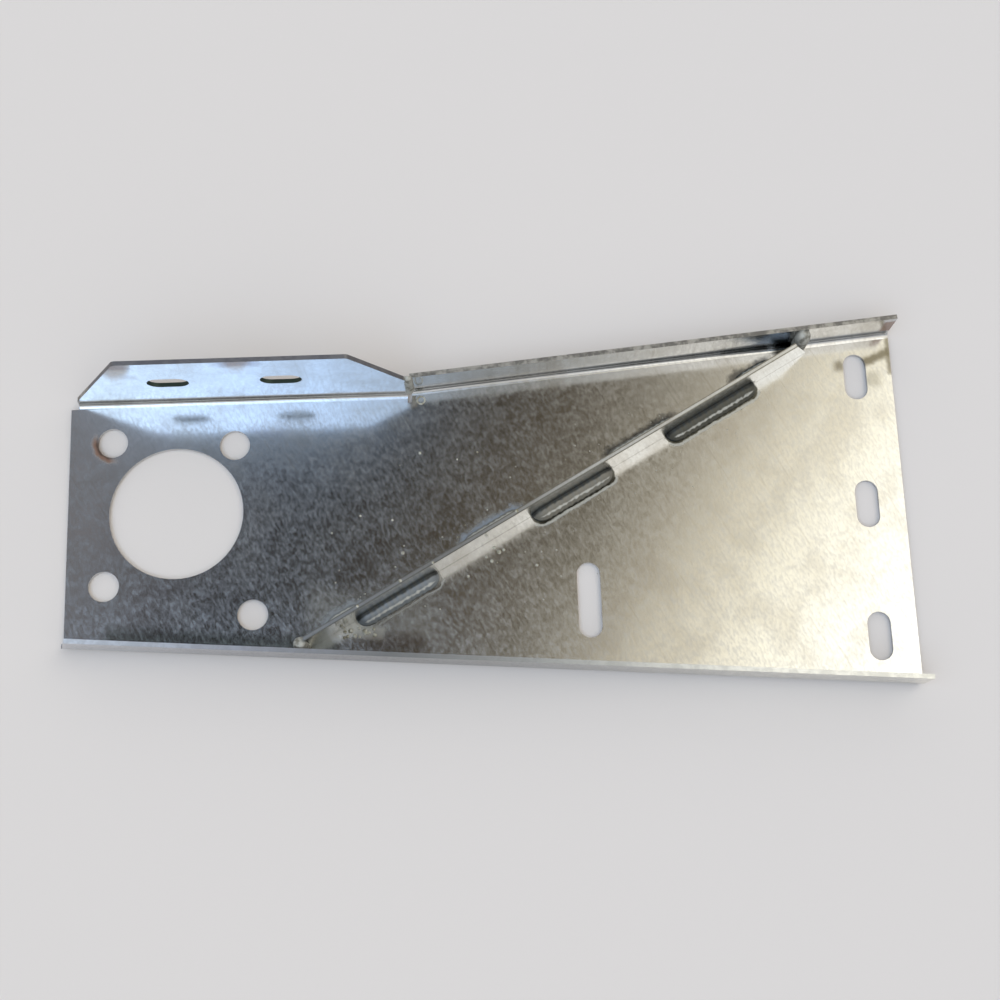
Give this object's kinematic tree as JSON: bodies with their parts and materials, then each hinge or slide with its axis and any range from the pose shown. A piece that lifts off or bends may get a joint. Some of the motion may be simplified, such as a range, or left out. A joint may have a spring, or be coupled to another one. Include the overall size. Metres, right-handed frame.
{
  "type": "welded sheet metal bracket",
  "caption": "Tapering folded sheet-steel bracket with low flanges, an upright slotted tab, a large bore, bolt slots and a welded diagonal stiffener.",
  "frame": {"origin": "centre of the large bore, on the back face of the web", "axes": "+X along the web from the tab end to the slotted edge, parallel to the tab's fold; +Y towards the tab; +Z out of the back face, the way the folded edges stand"},
  "size_m": [0.4699, 0.2057, 0.067],
  "materials": {
    "galvanised_sheet": "hot-dip galvanised, mottled, dull",
    "galvanised_strip": "hot-dip galvanised, dull",
    "weld_bead": "dark as-welded bead"
  },
  "bodies": {
    "root": {"folded_plate": "galvanised_sheet", "diagonal_stiffener": "galvanised_strip", "lower_stitch_weld_1": "weld_bead", "lower_stitch_weld_2": "weld_bead", "lower_stitch_weld_3": "weld_bead", "upper_stitch_weld_1": "weld_bead", "upper_stitch_weld_2": "weld_bead", "upper_stitch_weld_3": "weld_bead", "upper_stitch_weld_4": "weld_bead", "stiffener_top_weld": "weld_bead", "stiffener_bottom_weld": "weld_bead", "corner_weld": "weld_bead"}
  },
  "joints": []
}
